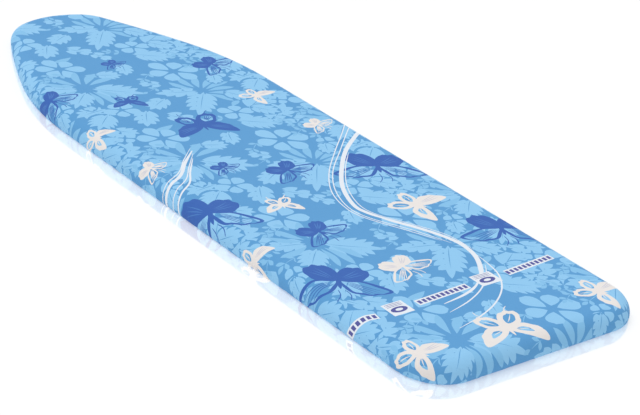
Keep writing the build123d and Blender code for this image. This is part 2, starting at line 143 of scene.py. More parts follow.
class Finish:
    """A Principled material with short ways to add bumps and colour variation."""

    def __init__(self, name, colour, roughness, metallic=0.0):
        self.material = bpy.data.materials.new(name)
        self.material.use_nodes = True
        tree = self.material.node_tree
        self.nodes = tree.nodes
        self.links = tree.links
        self.shader = tree.nodes["Principled BSDF"]
        self.shader.inputs["Base Color"].default_value = colour
        self.shader.inputs["Roughness"].default_value = roughness
        self.shader.inputs["Metallic"].default_value = metallic
        self.colour = colour
        self.place = self.nodes.new("ShaderNodeTexCoord").outputs["Object"]

    def texture(self, kind, stretch=(1, 1, 1), **inputs):
        """A procedural texture in the object's own metres, stretched along the axes."""
        mapping = self.nodes.new("ShaderNodeMapping")
        mapping.inputs["Scale"].default_value = stretch
        self.links.new(self.place, mapping.inputs["Vector"])
        texture = self.nodes.new(kind)
        for name, value in inputs.items():
            texture.inputs[name.replace("_", " ")].default_value = value
        self.links.new(mapping.outputs["Vector"], texture.inputs["Vector"])
        return texture

    def bump(self, output, strength, depth):
        """Adds a bump of depth metres over any bump that is already there."""
        bump = self.nodes.new("ShaderNodeBump")
        bump.inputs["Strength"].default_value = strength
        bump.inputs["Distance"].default_value = depth
        self.links.new(output, bump.inputs["Height"])
        normal = self.shader.inputs["Normal"]
        if normal.is_linked:
            self.links.new(normal.links[0].from_socket, bump.inputs["Normal"])
        self.links.new(bump.outputs["Normal"], normal)

    def vary(self, output, low, high):
        """Varies the colour's brightness between low and high times, as the texture goes from 0 to 1."""
        mix = self.nodes.new("ShaderNodeMix")
        mix.data_type = "RGBA"
        mix.inputs["A"].default_value = tuple(c * low for c in self.colour[:3]) + (1.0,)
        mix.inputs["B"].default_value = tuple(c * high for c in self.colour[:3]) + (1.0,)
        self.links.new(output, mix.inputs["Factor"])
        self.links.new(mix.outputs["Result"], self.shader.inputs["Base Color"])


THREAD = 0.5 * MM
WAVE_PERIOD = 2 * pi / 20  # of Blender's wave texture at scale 1


def weave(finish, thread, strength):
    """Plain weave: threads along both directions of the sheet."""
    threads = []
    for direction in ("X", "Y"):
        wave = finish.texture("ShaderNodeTexWave", Scale=WAVE_PERIOD / thread, Distortion=0.4)
        wave.bands_direction = direction
        threads.append(wave.outputs["Fac"])
    cross = finish.nodes.new("ShaderNodeMath")
    cross.operation = "MAXIMUM"
    finish.links.new(threads[0], cross.inputs[0])
    finish.links.new(threads[1], cross.inputs[1])
    finish.bump(cross.outputs["Value"], strength, thread / 4)


def cotton(name, colour):
    """One ink of the printed cotton."""
    finish = Finish(name, colour, 0.82)
    finish.shader.inputs["Sheen Weight"].default_value = 0.04
    finish.shader.inputs["Sheen Roughness"].default_value = 0.5
    finish.shader.inputs["Specular IOR Level"].default_value = 0.2
    soft = finish.texture("ShaderNodeTexNoise", Scale=45.0, Detail=3.0)
    finish.bump(soft.outputs["Fac"], 0.25, 0.8 * MM)
    weave(finish, THREAD, 0.35)
    return finish.material


INKS = {
    "ground": cotton("cotton_blue", linear(92, 157, 210)),
    "pale": cotton("cotton_pale_blue", linear(143, 199, 238)),
    "mist": cotton("cotton_mist_blue", linear(132, 191, 232)),
    "navy": cotton("cotton_navy", linear(58, 102, 180)),
    "cream": cotton("cotton_cream", linear(232, 227, 224)),
    "white": cotton("cotton_white", linear(228, 234, 242)),
    "trim": cotton("cotton_trim_blue", linear(88, 92, 158)),
    "navy vein": cotton("cotton_navy_vein", linear(78, 128, 196)),
    "cream vein": cotton("cotton_cream_vein", linear(206, 206, 216)),
}


def hem_tape_finish():
    """Ribbed white cotton tape."""
    finish = Finish("hem_tape", linear(226, 230, 236), 0.8)
    ribs = finish.texture("ShaderNodeTexWave", Scale=WAVE_PERIOD / (0.9 * MM), Distortion=1.0)
    finish.bump(ribs.outputs["Fac"], 0.5, 0.3 * MM)
    cloudy = finish.texture("ShaderNodeTexNoise", Scale=60.0, Detail=4.0)
    finish.vary(cloudy.outputs["Fac"], 0.86, 1.04)
    return finish.material


def foam_finish():
    """Open-pored cream foam."""
    finish = Finish("foam", linear(232, 228, 208), 0.9)
    pores = finish.texture("ShaderNodeTexVoronoi", Scale=900.0)
    finish.bump(pores.outputs["Distance"], 0.7, 0.6 * MM)
    cloudy = finish.texture("ShaderNodeTexNoise", Scale=40.0, Detail=5.0)
    finish.vary(cloudy.outputs["Fac"], 0.9, 1.05)
    return finish.material


def felt_finish():
    """Fibrous off-white needle felt."""
    finish = Finish("felt", linear(226, 226, 222), 0.95)
    fibres = finish.texture("ShaderNodeTexNoise", stretch=(1, 3, 3), Scale=700.0, Detail=8.0)
    finish.bump(fibres.outputs["Fac"], 0.6, 0.4 * MM)
    finish.vary(fibres.outputs["Fac"], 0.8, 1.1)
    return finish.material


def elastic_finish():
    """Braided white elastic."""
    finish = Finish("elastic", linear(236, 236, 232), 0.7)
    braid = finish.texture("ShaderNodeTexVoronoi", Scale=1400.0)
    finish.bump(braid.outputs["Distance"], 0.5, 0.2 * MM)
    finish.vary(braid.outputs["Distance"], 1.05, 0.8)
    return finish.material


def powder_coat():
    """Pale grey powder coat with a fine orange peel."""
    finish = Finish("powder_coat", linear(222, 226, 230), 0.42)
    peel = finish.texture("ShaderNodeTexNoise", Scale=550.0, Detail=2.0)
    finish.bump(peel.outputs["Fac"], 0.25, 0.25 * MM)
    cloudy = finish.texture("ShaderNodeTexNoise", Scale=9.0, Detail=4.0)
    finish.vary(cloudy.outputs["Fac"], 0.93, 1.03)
    return finish.material


def plated_steel(name, colour, roughness, grain):
    """Steel with fine drawn lines along the board and a cloudy plating."""
    finish = Finish(name, colour, roughness, metallic=1.0)
    lines = finish.texture("ShaderNodeTexNoise", stretch=(0.05, 1, 1), Scale=grain, Detail=6.0)
    finish.bump(lines.outputs["Fac"], 0.3, 0.1 * MM)
    cloudy = finish.texture("ShaderNodeTexNoise", Scale=80.0, Detail=5.0)
    finish.vary(cloudy.outputs["Fac"], 0.78, 1.1)
    return finish.material


def moulded_plastic(name, colour):
    """Moulded plastic with a spark-eroded grain."""
    finish = Finish(name, colour, 0.45)
    grain = finish.texture("ShaderNodeTexVoronoi", Scale=1600.0)
    finish.bump(grain.outputs["Distance"], 0.3, 0.12 * MM)
    cloudy = finish.texture("ShaderNodeTexNoise", Scale=50.0, Detail=3.0)
    finish.vary(cloudy.outputs["Fac"], 0.9, 1.08)
    return finish.material


FINISHES = {
    "hem_tape": hem_tape_finish(),
    "foam": foam_finish(),
    "felt": felt_finish(),
    "elastic": elastic_finish(),
    "deck_paint": powder_coat(),
    "zinc_steel": plated_steel("zinc_steel", linear(196, 198, 202), 0.38, 900.0),
    "bright_steel": plated_steel("bright_steel", linear(214, 214, 216), 0.25, 1400.0),
    "spring_steel": plated_steel("spring_steel", linear(176, 178, 184), 0.3, 2000.0),
    "grey_plastic": moulded_plastic("grey_plastic", linear(96, 100, 106)),
    "blue_plastic": moulded_plastic("blue_plastic", linear(46, 104, 184)),
}


def dress_cad_nodes():
    """Each carried-over CAD node whose material slot in the record has a finish here takes that finish."""
    for part in frame["record"]["subparts"]:
        finish = FINISHES.get(part["material_slot"])
        if finish is None:
            continue
        mesh = frame["nodes"][part["node"]].data
        mesh.materials.clear()
        mesh.materials.append(finish)


dress_cad_nodes()

# ---------------------------------------------------------------- the board's edge


def edge_pieces():
    """Half of the line where the edge's rounding starts, from the heel's middle to the nose's tip.

    Lines are ("line", start, length, heading, facing), and arcs ("arc", centre, radius, first, last).
    """
    drop = 0.0
    turned = 0.0
    for radius, angle in SIDE_ARCS:
        drop += radius * (cos(radians(turned)) - cos(radians(angle)))
        turned = angle
    nose_radius = (WIDTH / 2 - drop) / cos(radians(turned))
    chain = SIDE_ARCS + ((nose_radius, 90.0),)
    reach = 0.0
    turned = 0.0
    for radius, angle in chain:
        reach += radius * (sin(radians(angle)) - sin(radians(turned)))
        turned = angle
    heel_x = LENGTH / 2 - HEEL_RADIUS
    heel_y = WIDTH / 2 - HEEL_RADIUS
    centre = np.array((reach - LENGTH / 2, WIDTH / 2 - chain[0][0]))
    inner_x = LENGTH / 2 - EDGE_RADIUS
    inner_y = WIDTH / 2 - EDGE_RADIUS
    pieces = [
        ("line", (inner_x, 0.0), heel_y, (0.0, 1.0), (1.0, 0.0)),
        ("arc", (heel_x, heel_y), HEEL_RADIUS - EDGE_RADIUS, 0.0, pi / 2),
        ("line", (heel_x, inner_y), heel_x - centre[0], (-1.0, 0.0), (0.0, 1.0)),
    ]
    turned = 0.0
    for (radius, angle), following in zip(chain, chain[1:] + (None,)):
        first, last = pi / 2 + radians(turned), pi / 2 + radians(angle)
        pieces.append(("arc", tuple(centre), radius - EDGE_RADIUS, first, last))
        if following is not None:
            shift = radius - following[0]
            centre = centre + shift * np.array((-sin(radians(angle)), cos(radians(angle))))
        turned = angle
    return pieces


EDGE = edge_pieces()


def edge_ring(outward, spacing):
    """Closed loop of flat points round the board, outward of where the rounding starts."""
    upper = []
    for kind, anchor, size, first, last in EDGE:
        if kind == "line":
            count = max(1, round(size / spacing))
            for step in range(count):
                way = size * step / count
                upper.append([anchor[i] + first[i] * way + last[i] * outward for i in (0, 1)])
        else:
            count = max(2, round((last - first) * (size + outward) / spacing))
            for step in range(count):
                angle = first + (last - first) * step / count
                radius = size + outward
                upper.append([anchor[0] + radius * cos(angle), anchor[1] + radius * sin(angle)])
    _, anchor, size, _, _ = EDGE[-1]
    upper.append([anchor[0] - size - outward, 0.0])
    lower = [[x, -y] for x, y in reversed(upper[1:-1])]
    return np.array(upper + lower)


def edge_frame(points):
    """How far each flat point lies outside the start of the rounding, its outward direction there,
    and how far round the board it is."""
    points = np.asarray(points, float)
    side = np.where(points[:, 1] < 0, -1.0, 1.0)
    upper = np.column_stack([points[:, 0], np.abs(points[:, 1])])
    nearest = np.full(len(points), np.inf)
    outward = np.zeros(len(points))
    facing = np.zeros((len(points), 2))
    along = np.zeros(len(points))
    travelled = 0.0
    for kind, anchor, size, first, last in EDGE:
        offset = upper - np.array(anchor)
        if kind == "line":
            reach = offset @ np.array(first)
            valid = (reach >= -1e-6) & (reach <= size + 1e-6)
            distance = offset @ np.array(last)
            direction = np.tile(last, (len(points), 1))
            length = size
        else:
            angle = np.arctan2(offset[:, 1], offset[:, 0])
            # Rounding leaves the nose's middle line at either -pi or pi: both are pi here.
            angle = np.where(angle < -pi / 2, angle + 2 * pi, angle).clip(max=pi)
            valid = (angle >= first - 1e-9) & (angle <= last + 1e-9)
            far = np.maximum(np.hypot(offset[:, 0], offset[:, 1]), 1e-9)
            distance = far - size
            direction = offset / far[:, None]
            reach = (angle - first) * size
            length = (last - first) * size
        better = valid & (np.abs(distance) < nearest)
        nearest[better] = np.abs(distance)[better]
        outward[better] = distance[better]
        facing[better] = direction[better]
        along[better] = travelled + reach[better]
        travelled += length
    facing[:, 1] *= side
    return outward, facing, along * side


GATHER_DEPTH = 0.4  # along the sides
GATHER_EXTRA = 1.7  # added to it round the ends
GATHER_PACE = 5.2
DRIFT = 1.5  # how far the gathers stray from even spacing
DRIFT_PACE = 37.0


def gathers(along, outward, ends):
    """Height of the turned-in hem: its gathers, deeper round the ends, and its rise into the tape."""
    share = np.clip((outward - TURN_END) / (HEM_END - TURN_END), 0, 1)
    folds = 0.5 + 0.5 * np.sin(along / GATHER_PACE + DRIFT * np.sin(along / DRIFT_PACE))
    rise = np.clip((outward - HEM_END + HEM_RISE) / (HEM_RISE - BINDING_RADIUS), 0, 1)
    return share * (GATHER_DEPTH + GATHER_EXTRA * ends) * folds + BINDING_RADIUS * rise**2 * (3 - 2 * rise)


def round_ends(facing):
    """0 where the edge runs straight along or across the board, up to 1 round its ends."""
    corners = np.abs(facing[:, 0] * facing[:, 1]) * 2
    nose = (facing[:, 0] < -0.5) * 0.6
    return np.minimum(1, corners + nose)


def wrap(flat, inset=0.0):
    """Flat points laid over the board, inset from its outer surface: positions in millimetres."""
    outward, facing, along = edge_frame(flat)
    over = np.maximum(outward, 0)
    foot = np.asarray(flat, float) - facing * outward[:, None]
    radius = EDGE_RADIUS - inset
    bend = np.clip(over / EDGE_RADIUS, 0, pi / 2)
    lower = np.clip((over - SIDE_END) / LOWER_TURN, 0, pi / 2)
    tucked = np.maximum(over - TURN_END, 0)
    reach = radius * np.sin(bend) - LOWER_TURN * (1 - np.cos(lower)) - tucked
    height = HEIGHT - inset - radius * (1 - np.cos(bend))
    height = height - np.clip(over - QUARTER, 0, SIDE_END - QUARTER) - LOWER_TURN * np.sin(lower)
    height = height + gathers(along, over, round_ends(facing))
    flat_part = outward <= 0
    x = np.where(flat_part, flat[:, 0], foot[:, 0] + facing[:, 0] * reach)
    y = np.where(flat_part, flat[:, 1], foot[:, 1] + facing[:, 1] * reach)
    return np.column_stack([x, y, height])


def spread_points(end, ring_steps, spacing):
    """The border and the inner points of a flat mesh: a grid on top, and rings where it bends."""
    rings = [edge_ring(outward, spacing) for outward in ring_steps]
    columns = np.arange(-LENGTH / 2, LENGTH / 2, 2 * spacing)
    rows = np.arange(-WIDTH / 2, WIDTH / 2, 2 * spacing)
    grid = np.array([(x, y) for x in columns for y in rows])
    outward, _, _ = edge_frame(grid)
    return edge_ring(end, spacing), np.vstack([grid[outward < -spacing / 2]] + rings)


def signed_area(loop):
    """Area inside a closed loop, positive when it runs anticlockwise."""
    following = np.roll(loop, -1, axis=0)
    return float(np.sum(loop[:, 0] * following[:, 1] - following[:, 0] * loop[:, 1]) / 2)


BEND_STEP = 4.0
MERGE_DISTANCE = 1e-4
BORDER_SLACK = 0.5


def short_edges(outline):
    """The outline with its edges divided where the sheet bends, so that they follow the bend."""
    following = np.roll(outline, -1, axis=0)
    outward = edge_frame(outline)[0]
    bends = np.maximum(outward, np.roll(outward, -1)) > 0
    if not bends.any():
        return outline
    lengths = np.hypot(*(following - outline).T)
    counts = np.where(bends, np.ceil(lengths / BEND_STEP), 1).clip(1).astype(int)
    divided = []
    for here, there, count in zip(outline, following, counts):
        divided += [here + (there - here) * step / count for step in range(count)]
    return np.array(divided)


def cut_sheet(border, points, shapes):
    """Triangles of the flat sheet inside its border, with each shape's outline as edges of the mesh.

    Returns the flat points, the triangles, and for each triangle the numbers of the shapes over it.
    """
    outlines = [border] + [short_edges(shape) for shape in shapes]
    coordinates = [Vector(p) for p in points]
    faces = []
    for outline in outlines:
        start = len(coordinates)
        anticlockwise = outline if signed_area(outline) > 0 else outline[::-1]
        coordinates.extend(Vector(p) for p in anticlockwise)
        faces.append(list(range(start, len(coordinates))))
    result = geometry.delaunay_2d_cdt(coordinates, [], faces, 0, MERGE_DISTANCE, True)
    vertices, _, triangles, _, _, sources = result
    flat = np.array([tuple(v) for v in vertices])
    limit = edge_frame(border)[0].max()
    outward, _, _ = edge_frame(flat)
    kept = [
        (triangle, [number - 1 for number in over if number > 0])
        for triangle, over in zip(triangles, sources)
        if 0 in over and max(outward[index] for index in triangle) < limit + BORDER_SLACK
    ]
    return flat, [triangle for triangle, _ in kept], [over for _, over in kept]


def make_mesh(name, positions, faces, materials, face_materials=None):
    """Mesh object from positions in millimetres, smooth, with unused points left out."""
    used = sorted({index for face in faces for index in face})
    renumber = {old: new for new, old in enumerate(used)}
    mesh = bpy.data.meshes.new(name)
    points = [tuple(positions[index] * MM) for index in used]
    mesh.from_pydata(points, [], [[renumber[index] for index in face] for face in faces])
    for material in materials:
        mesh.materials.append(material)
    if face_materials is not None:
        mesh.polygons.foreach_set("material_index", face_materials)
    mesh.polygons.foreach_set("use_smooth", [True] * len(mesh.polygons))
    mesh.validate()
    mesh.update()
    piece = bpy.data.objects.new(name, mesh)
    bpy.context.scene.collection.objects.link(piece)
    return piece


# ---------------------------------------------------------------- outlines of the print's motifs

DRAWN_STEP = 4.0  # length of the short straight stretches that curves are drawn with


def smooth_loop(points, closed=True):
    """Smooth curve through given points."""
    points = np.asarray(points, float)
    count = len(points)
    drawn = []
    for i in range(count if closed else count - 1):
        if closed:
            before, here, there, after = (points[(i + k) % count] for k in (-1, 0, 1, 2))
        else:
            before, here = points[max(i - 1, 0)], points[i]
            there, after = points[i + 1], points[min(i + 2, count - 1)]
        steps = max(2, ceil(hypot(*(there - here)) / DRAWN_STEP))
        for t in np.arange(steps) / steps:
            bend = 2 * here + (there - before) * t
            bend += (2 * before - 5 * here + 4 * there - after) * t**2
            bend += (3 * here - before - 3 * there + after) * t**3
            drawn.append(bend / 2)
    if not closed:
        drawn.append(points[-1])
    return np.array(drawn)


def along_spine(base, tip, half_width, count, bend=0.0):
    """Outline either side of a line from base to tip. half_width is a function from 0 to 1."""
    base = np.asarray(base, float)
    way = np.asarray(tip, float) - base
    across = np.array((-way[1], way[0])) / hypot(*way)
    steps = np.linspace(1e-6, 1 - 1e-6, count + 1)
    spine = [base + way * t + across * bend * sin(pi * t) for t in steps]
    left = [spine[i] + across * half_width(t) for i, t in enumerate(steps)]
    right = [spine[i] - across * half_width(t) for i, t in enumerate(steps)]
    return np.array(left + right[-2:0:-1])


CLEAR_MARGIN = 2.0
LOBES_START = 0.1  # shares of the leaf's length
LOBES_SPREAD = 0.52
CROWN_START = 0.55
LOBE_WIDTH = 0.22  # half a lobe's width, as a share of the leaf's width
LOBE_SPACE = 0.235  # its limit, as a share of the length for each pair


def lobed_leaf(base, tip, width, lobes):
    """Broad leaf cut into pairs of lobes, as an oak's, on a clear patch of ground, with a fine rib."""
    base = np.asarray(base, float)
    way = np.asarray(tip, float) - base
    length = hypot(*way)
    ahead = way / length
    across = np.array((-ahead[1], ahead[0]))
    clear = along_spine(
        base - ahead * 1.5,
        tip + ahead * 1.5,
        lambda t: (width / 2 + CLEAR_MARGIN) * sin(pi * t**0.85) ** 0.55,
        8,
    )
    outlines = [along_spine(base, tip, lambda t: width * 0.13 * sin(pi * t**0.8) ** 0.7 + 0.4, 7)]
    thickness = min(LOBE_WIDTH * width, LOBE_SPACE * length / (lobes - 1))
    for pair in range(lobes):
        share = pair / (lobes - 1)
        root = base + way * (LOBES_START + LOBES_SPREAD * share)
        reach = width * (0.58 + 0.1 * sin(pi * share) - 0.16 * share)
        for side in (-1, 1):
            end = root + (ahead * 0.72 + across * side * 0.8) * reach
            lobe = along_spine(
                root,
                end,
                lambda t: thickness * (1 - t**2.4) ** 0.75 + 0.3,
                5,
                bend=side * reach * 0.06,
            )
            outlines.append(lobe)
    crown = base + way * CROWN_START
    outlines.append(along_spine(crown, tip, lambda t: thickness * (1 - t**2) ** 0.8 + 0.3, 6))
    rib = along_spine(base + way * 0.04, base + way * 0.72, lambda t: 0.75 * (1 - 0.6 * t), 3)
    return [("ground", clear)] + [("pale", outline) for outline in outlines] + [("ground", rib)]


def slim_leaf(base, tip, width):
    """Narrow leaf, widest past its middle, a little curved."""
    length = hypot(tip[0] - base[0], tip[1] - base[1])
    return along_spine(
        base,
        tip,
        lambda t: width / 2 * sin(pi * t**1.3) ** 0.8 + 0.3,
        max(6, round(length / 6)),
        bend=length * 0.07,
    )


PETAL_WIDTH = 1.75  # half a petal's width times the number of petals, as a share of the radius
UNEVEN_PETALS = 0.12


def flower(centre, radius, petals, turn, eye):
    """Open flower: separate petals round an eye that shows the ground."""
    outlines = []
    for petal in range(petals):
        heading = turn + 2 * pi * petal / petals
        way = np.array((cos(heading), sin(heading)))
        reach = radius * (1.0 + UNEVEN_PETALS * sin(2.3 * petal + turn))
        outlines.append(
            along_spine(
                centre + way * eye,
                centre + way * reach,
                lambda t: PETAL_WIDTH * radius / petals * sin(pi * t**1.5) ** 0.6 + 0.5,
                8,
            )
        )
    return outlines


def sprig(base, tip, leaflets, size):
    """Thin stem with pairs of small leaves and one at its tip."""
    base = np.asarray(base, float)
    tip = np.asarray(tip, float)
    way = tip - base
    ahead = way / hypot(*way)
    across = np.array((-ahead[1], ahead[0]))
    outlines = [along_spine(base, tip, lambda t: 0.7, 2)]
    for pair in range(leaflets):
        root = base + way * (0.2 + 0.65 * pair / max(leaflets - 1, 1))
        for side in (-1, 1):
            end = root + (ahead * 0.75 + across * side) * size
            outlines.append(along_spine(root, end, lambda t: size * 0.3 * sin(pi * t**1.2) + 0.2, 5))
    outlines.append(along_spine(tip, tip + ahead * size * 1.3, lambda t: size * 0.3 * sin(pi * t) + 0.2, 5))
    return outlines


# ---------------------------------------------------------------- the repeating leaf pattern

REPEAT_ALONG = np.array((284.0, 1.0))
REPEAT_ACROSS = np.array((-19.8, 290.8))

# One repeat of the print, where it lies near the heel. Leaves are base, tip, width and lobes.
BROAD_LEAVES = (
    ((274, -98), (324, -30), 54, 4),
    ((280, -114), (326, -160), 44, 4),
    ((262, -118), (246, -174), 36, 3),
    ((354, 52), (428, -6), 50, 4),
    ((347, 46), (329, -20), 36, 3),
    ((434, 82), (402, 134), 48, 4),
    ((396, 140), (422, 170), 32, 3),
    ((404, -48), (434, -18), 36, 2),
    ((376, -68), (426, -98), 40, 3),
    ((398, -174), (436, -150), 34, 2),
    ((464, 36), (504, 94), 48, 4),
    ((482, 110), (516, 142), 38, 3),
    ((486, 90), (442, 142), 50, 3),
    ((326, 172), (334, 116), 40, 3),
    ((364, -126), (406, -170), 46, 4),
    ((386, -208), (424, -182), 38, 3),
    ((450, -204), (488, -174), 36, 3),
    ((498, -196), (530, -176), 28, 2),
    ((322, -184), (356, -202), 28, 3),
    ((350, -16), (376, -60), 38, 3),
    ((230, -64), (246, -26), 34, 3),
    ((208, -2), (250, -20), 30, 3),
    ((288, 158), (326, 148), 26, 2),
    ((334, 164), (376, 158), 28, 2),
    ((436, -20), (470, -6), 28, 2),
    ((302, 8), (286, -22), 26, 2),
)
SLIM_LEAVES = (
    ((338, 56), (300, 74), 12),
    ((342, 60), (314, 104), 12),
    ((347, 62), (336, 112), 11),
    ((353, 62), (358, 108), 11),
    ((359, 58), (384, 100), 12),
    ((362, 54), (402, 76), 12),
    ((334, 50), (290, 48), 12),
    ((336, 42), (300, 24), 11),
    ((260, -94), (250, -46), 12),
    ((255, -97), (224, -62), 13),
    ((252, -104), (206, -88), 12),
    ((252, -112), (212, -132), 12),
    ((256, -117), (226, -154), 11),
    ((269, -121), (278, -172), 12),
    ((282, -103), (338, -94), 12),
    ((283, -92), (330, -74), 12),
    ((282, -109), (334, -116), 10),
    ((436, -60), (444, -96), 12),
    ((520, -40), (508, -80), 12),
    ((418, 62), (404, 84), 10),
)
FLOWERS = (
    ((266, 56), 42, 6, 0.4, 8),
    ((470, -101), 38, 6, 0.1, 7),
    ((359, -100), 27, 5, 0.9, 4),
    ((439, 54), 28, 5, 0.2, 4),
    ((300, 112), 18, 4, 0.5, 3),
    ((446, -150), 17, 4, 0.2, 3),
)
SPRIGS = (
    ((266, 142), (274, 112), 2, 11),
    ((256, 18), (276, -6), 2, 11),
    ((266, -180), (276, -200), 2, 10),
    ((204, -106), (218, -138), 2, 12),
    ((376, 128), (388, 112), 1, 12),
    ((482, -126), (500, -148), 2, 10),
    ((518, 92), (524, 126), 3, 10),
    ((310, -2), (318, -26), 1, 10),
    ((452, 24), (440, 8), 2, 10),
    ((228, 110), (214, 92), 2, 11),
)


def one_repeat():
    """Outlines of one repeat of the leaf pattern, each with its ink."""
    outlines = []
    for base, tip, width, lobes in BROAD_LEAVES:
        outlines += lobed_leaf(base, tip, width, lobes)
    for base, tip, width in SLIM_LEAVES:
        outlines.append(("mist", slim_leaf(base, tip, width)))
    for centre, radius, petals, turn, eye in FLOWERS:
        outlines += [("pale", shape) for shape in flower(np.array(centre), radius, petals, turn, eye)]
    for base, tip, leaflets, size in SPRIGS:
        outlines += [("mist", shape) for shape in sprig(base, tip, leaflets, size)]
    return outlines


def leaf_pattern():
    """The repeat, printed all over the flat cover."""
    half_length = LENGTH / 2 + HEM_END
    half_width = WIDTH / 2 + HEM_END
    printed = []
    repeat = one_repeat()
    for i in range(-4, 3):
        for j in range(-2, 3):
            shift = i * REPEAT_ALONG + j * REPEAT_ACROSS
            for ink, outline in repeat:
                middle = outline.mean(axis=0) + shift
                if abs(middle[0]) < half_length and abs(middle[1]) < half_width:
                    printed.append((ink, outline + shift))
    return printed


# ---------------------------------------------------------------- butterflies

LONG_WING = (
    (0.0, 0.0), (0.12, 0.14), (0.4, 0.24), (0.72, 0.27), (0.96, 0.25), (1.0, 0.17),
    (0.9, 0.02), (0.84, -0.03), (0.74, -0.16), (0.62, -0.2), (0.42, -0.27), (0.2, -0.18),
)
ROUND_WING = (
    (0.0, 0.0), (0.18, 0.28), (0.45, 0.42), (0.72, 0.43), (0.83, 0.31), (0.98, 0.26),
    (0.98, 0.08), (1.05, -0.06), (0.92, -0.26), (0.74, -0.33), (0.5, -0.4), (0.22, -0.26),
)
# Each wing: outline, heading in degrees, length, width as a share of the outline's, side, and its window.
# Body and feelers: heading, start and end.
BUTTERFLIES = {
    "settled": {
        "wings": (
            (LONG_WING, 77, 46, 1.0, 1, "open"),
            (LONG_WING, -35, 47, 1.0, -1, "open"),
            (ROUND_WING, 146, 30, 1.0, 1, "solid"),
            (ROUND_WING, 252, 32, 1.0, -1, "solid"),
        ),
        "body": (21, -12, 15),
        "feelers": ((11, 16, 36), (31, 16, 34)),
    },
    "swallow": {
        "wings": (
            (ROUND_WING, 131, 44, 0.85, 1, "ring"),
            (ROUND_WING, 216, 42, 0.8, -1, "ring"),
            (LONG_WING, 57, 55, 1.0, -1, "half"),
            (LONG_WING, -78, 58, 0.95, 1, "half"),
        ),
        "body": (172, -20, 15),
        "feelers": ((139, 38, 56), (195, 36, 52)),
    },
    "angel": {
        "wings": (
            (LONG_WING, 102, 54, 0.95, -1, "solid"),
            (LONG_WING, -19, 50, 1.0, 1, "half"),
            (ROUND_WING, 176, 38, 0.75, 1, "ring"),
            (ROUND_WING, 250, 42, 0.7, -1, "ring"),
        ),
        "body": (218, -16, 18),
        "feelers": (),
    },
}
# The same butterfly with smaller windows.
DARKER = {"open": "half", "ring": "slit", "half": "solid", "solid": "solid"}
DUSKY_WINGS = tuple(wing[:5] + (DARKER[wing[5]],) for wing in BUTTERFLIES["swallow"]["wings"])
BUTTERFLIES["dusky"] = dict(BUTTERFLIES["swallow"], wings=DUSKY_WINGS)
# Windows in a wing, where the cloth shows: centre along the wing, shares of its length and width, veins.
WINDOWS = {
    "open": (0.54, 0.86, 0.74, 4),
    "ring": (0.6, 0.58, 0.52, 1),
    "half": (0.36, 0.4, 0.36, 1),
    "slit": (0.66, 0.5, 0.62, 4),
    "solid": (0.56, 0.72, 0.72, 3),
}
VEIN = 0.9  # half the width of a vein at its root
SCALLOP = 0.05
FEELER = 0.7  # half the width of a feeler
BODY = 2.2  # half the width of a body at scale 1


def placed(points, heading, size, centre):
    """Unit outline turned to a heading, scaled and moved."""
    points = np.asarray(points, float) * size
    ahead = (cos(heading), sin(heading))
    return points @ np.array((ahead, (-ahead[1], ahead[0]))) + centre


def wing_window(wing, fill):
    """Window inside a unit wing's outline, with a scalloped rim, and the veins that cross it."""
    middle, along, across, count = WINDOWS[fill]
    rim = []
    for number, (x, y) in enumerate(wing):
        scallop = 1.0 + SCALLOP * (-1) ** number * (fill == "open")
        rim.append((middle + (x - middle) * along * scallop, y * across * scallop))
    low, high = min(y for _, y in rim), max(y for _, y in rim)
    veins = []
    for vein in range(count):
        share = (vein + 1) / (count + 1)
        heading = low + (high - low) * share
        veins.append(((middle - along / 2, heading * 0.3), (middle + along * 0.4, heading)))
    return np.array(rim), veins


def butterfly(kind, ink, centre, scale, turn):
    """Outlines of one butterfly. Those with the ink None show the pattern underneath."""
    centre = np.array(centre, float)
    turn = radians(turn)
    outlines = []
    for outline, heading, length, width, side, fill in BUTTERFLIES[kind]["wings"]:
        squeeze = np.array((1.0, width * side))
        place = (radians(heading) + turn, length * scale, centre)
        wing = np.array(outline) * squeeze
        outlines.append((ink, smooth_loop(placed(wing, *place))))
        rim, veins = wing_window(wing, fill)
        vein_ink = ink + " vein" if fill == "solid" else ink
        if fill != "solid":
            outlines.append((None, smooth_loop(placed(rim, *place))))
        for vein in veins:
            root, end = placed(vein, *place)
            outlines.append((vein_ink, along_spine(root, end, lambda t: VEIN * (1 - 0.5 * t), 3)))
    heading, tail, head = BUTTERFLIES[kind]["body"]
    way = np.array((cos(radians(heading) + turn), sin(radians(heading) + turn)))
    body = along_spine(
        centre + way * tail * scale,
        centre + way * head * scale,
        lambda t: BODY * scale * sin(pi * t) ** 0.6 + 0.2,
        8,
    )
    outlines.append((ink, body))
    for heading, first, last in BUTTERFLIES[kind]["feelers"]:
        way = np.array((cos(radians(heading) + turn), sin(radians(heading) + turn)))
        feeler = along_spine(
            centre + way * first * scale,
            centre + way * last * scale,
            lambda t: FEELER,
            8,
            bend=3 * scale,
        )
        outlines.append((ink, feeler))
    return outlines


